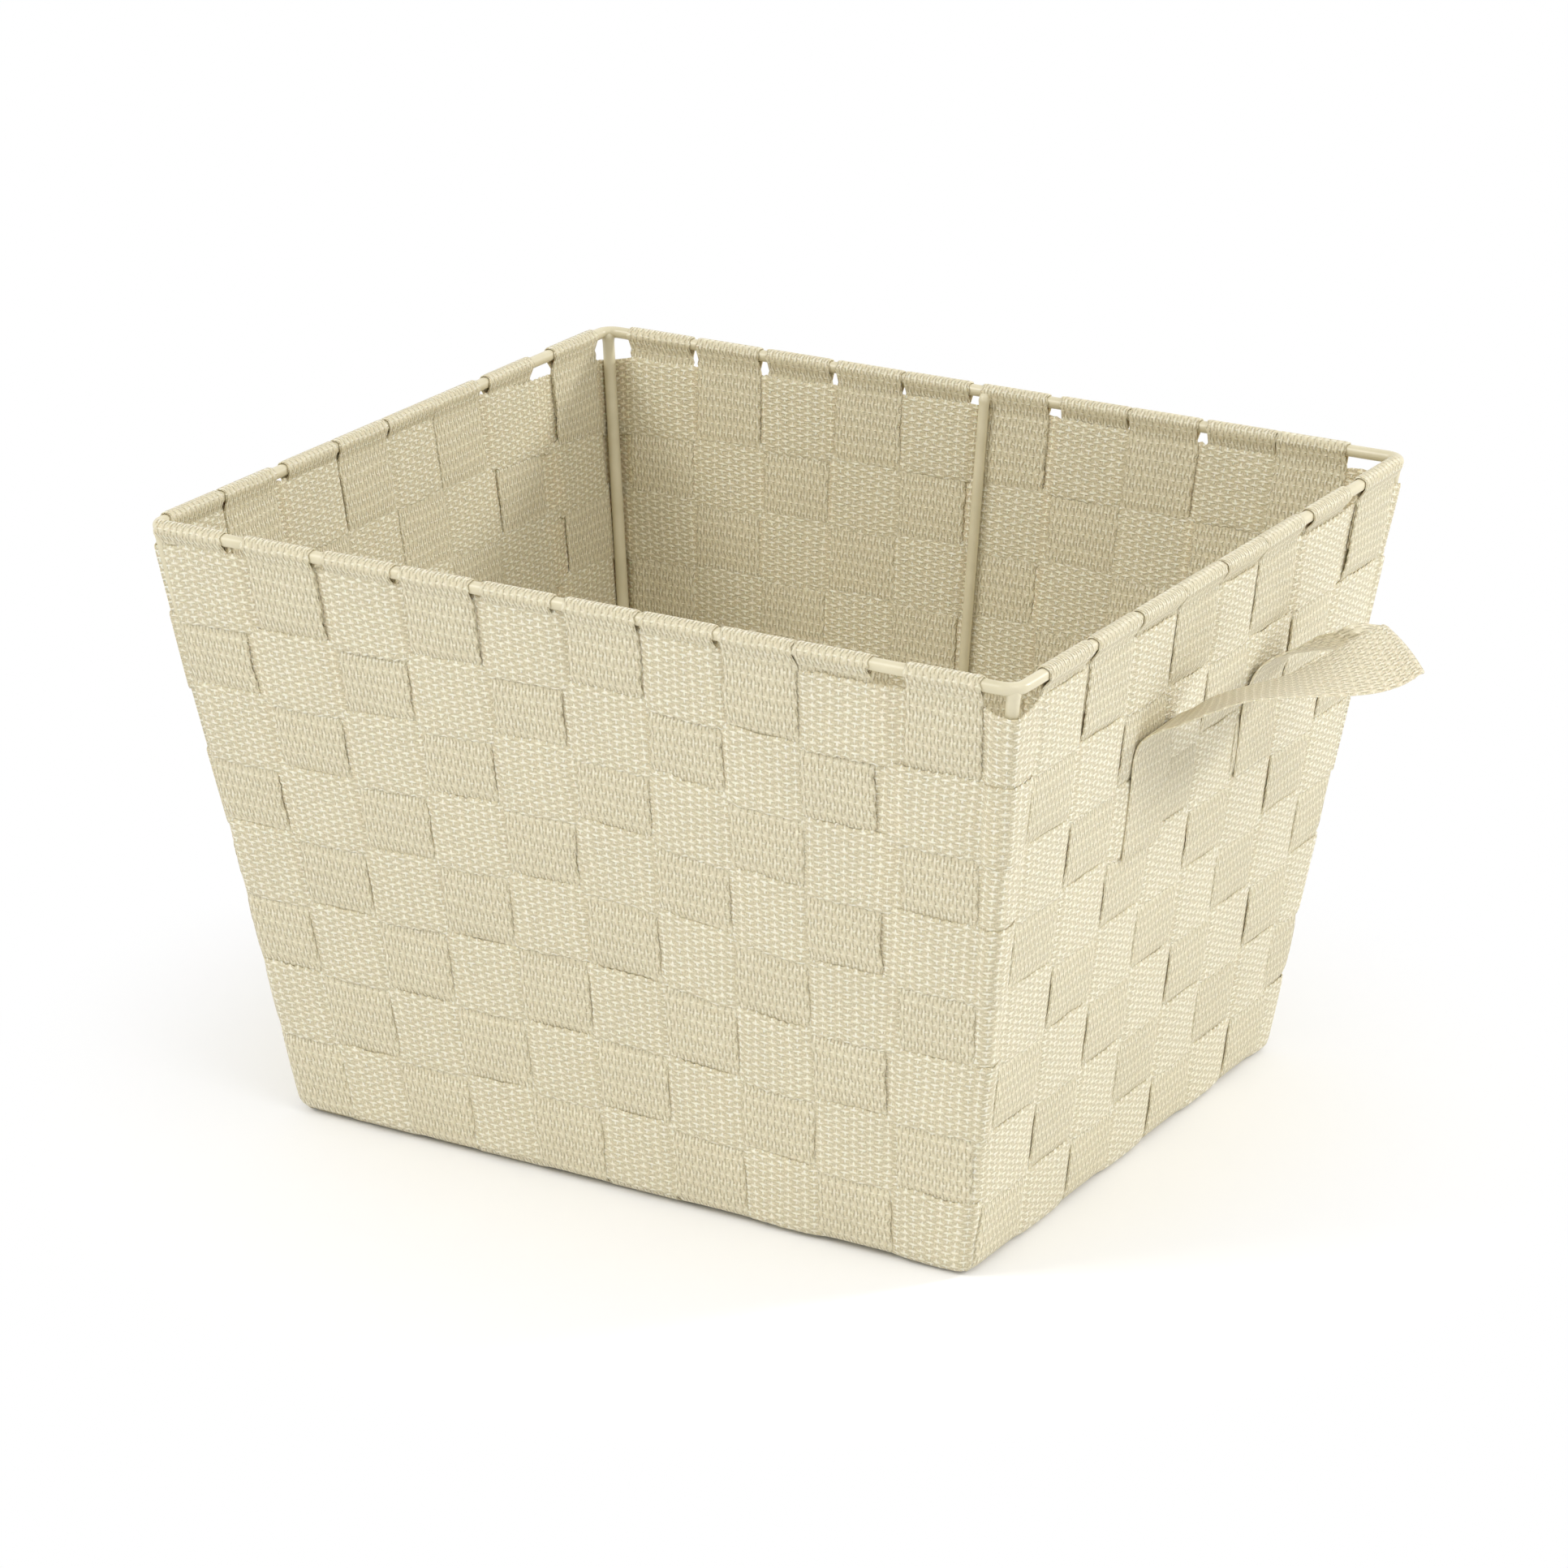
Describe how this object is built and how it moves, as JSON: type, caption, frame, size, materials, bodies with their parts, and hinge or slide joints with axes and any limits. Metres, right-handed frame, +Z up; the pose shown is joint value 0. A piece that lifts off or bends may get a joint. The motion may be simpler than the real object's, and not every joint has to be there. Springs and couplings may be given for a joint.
{
  "type": "woven storage bin",
  "caption": "Rectangular storage bin with flared walls, woven from flat webbing over a wire frame, open at the top, with a webbing carrying loop on each short end.",
  "frame": {"origin": "middle of the base, on the surface that the bin stands on", "axes": "+X to the right along the long front wall, +Y from the front wall to the back wall, +Z up; the handles are on the two short walls at +X and -X"},
  "size_m": [0.4986, 0.3366, 0.2561],
  "materials": {
    "webbing": "cream woven polypropylene webbing with fine ribs, softly glossy threads",
    "painted_wire": "cream powder coat, semi-gloss"
  },
  "bodies": {
    "bin": {"rim_wire": "painted_wire", "base_wire": "painted_wire", "middle_post_front": "painted_wire", "middle_post_back": "painted_wire", "corner_post_front_left": "painted_wire", "corner_post_front_right": "painted_wire", "corner_post_back_left": "painted_wire", "corner_post_back_right": "painted_wire", "handle_root_front_left": "webbing", "handle_root_front_right": "webbing", "handle_root_back_left": "webbing", "handle_root_back_right": "webbing", "lengthwise_strap_1": "webbing", "lengthwise_strap_2": "webbing", "lengthwise_strap_3": "webbing", "lengthwise_strap_4": "webbing", "lengthwise_strap_5": "webbing", "lengthwise_strap_6": "webbing", "lengthwise_strap_7": "webbing", "lengthwise_strap_8": "webbing", "lengthwise_strap_9": "webbing", "lengthwise_strap_10": "webbing", "crosswise_strap_1": "webbing", "crosswise_strap_2": "webbing", "crosswise_strap_3": "webbing", "crosswise_strap_4": "webbing", "crosswise_strap_5": "webbing", "crosswise_strap_6": "webbing", "crosswise_strap_7": "webbing", "crosswise_strap_8": "webbing", "row_strap_1": "webbing", "row_strap_2": "webbing", "row_strap_3": "webbing", "row_strap_4": "webbing", "row_strap_5": "webbing", "row_strap_6": "webbing", "row_strap_7": "webbing", "row_strap_8": "webbing"},
    "left_handle": {"handle_loop_left": "webbing"},
    "right_handle": {"handle_loop_right": "webbing"}
  },
  "joints": [
    {"name": "left_handle_swing", "type": "hinge", "parent": "bin", "child": "left_handle", "pos_m": [-0.1888, 0.0145, 0.19032], "axis": [0, -1, 0], "range_deg": [-45, 100]},
    {"name": "right_handle_swing", "type": "hinge", "parent": "bin", "child": "right_handle", "pos_m": [0.1888, 0.0145, 0.19032], "axis": [0, 1, 0], "range_deg": [-45, 100]}
  ]
}
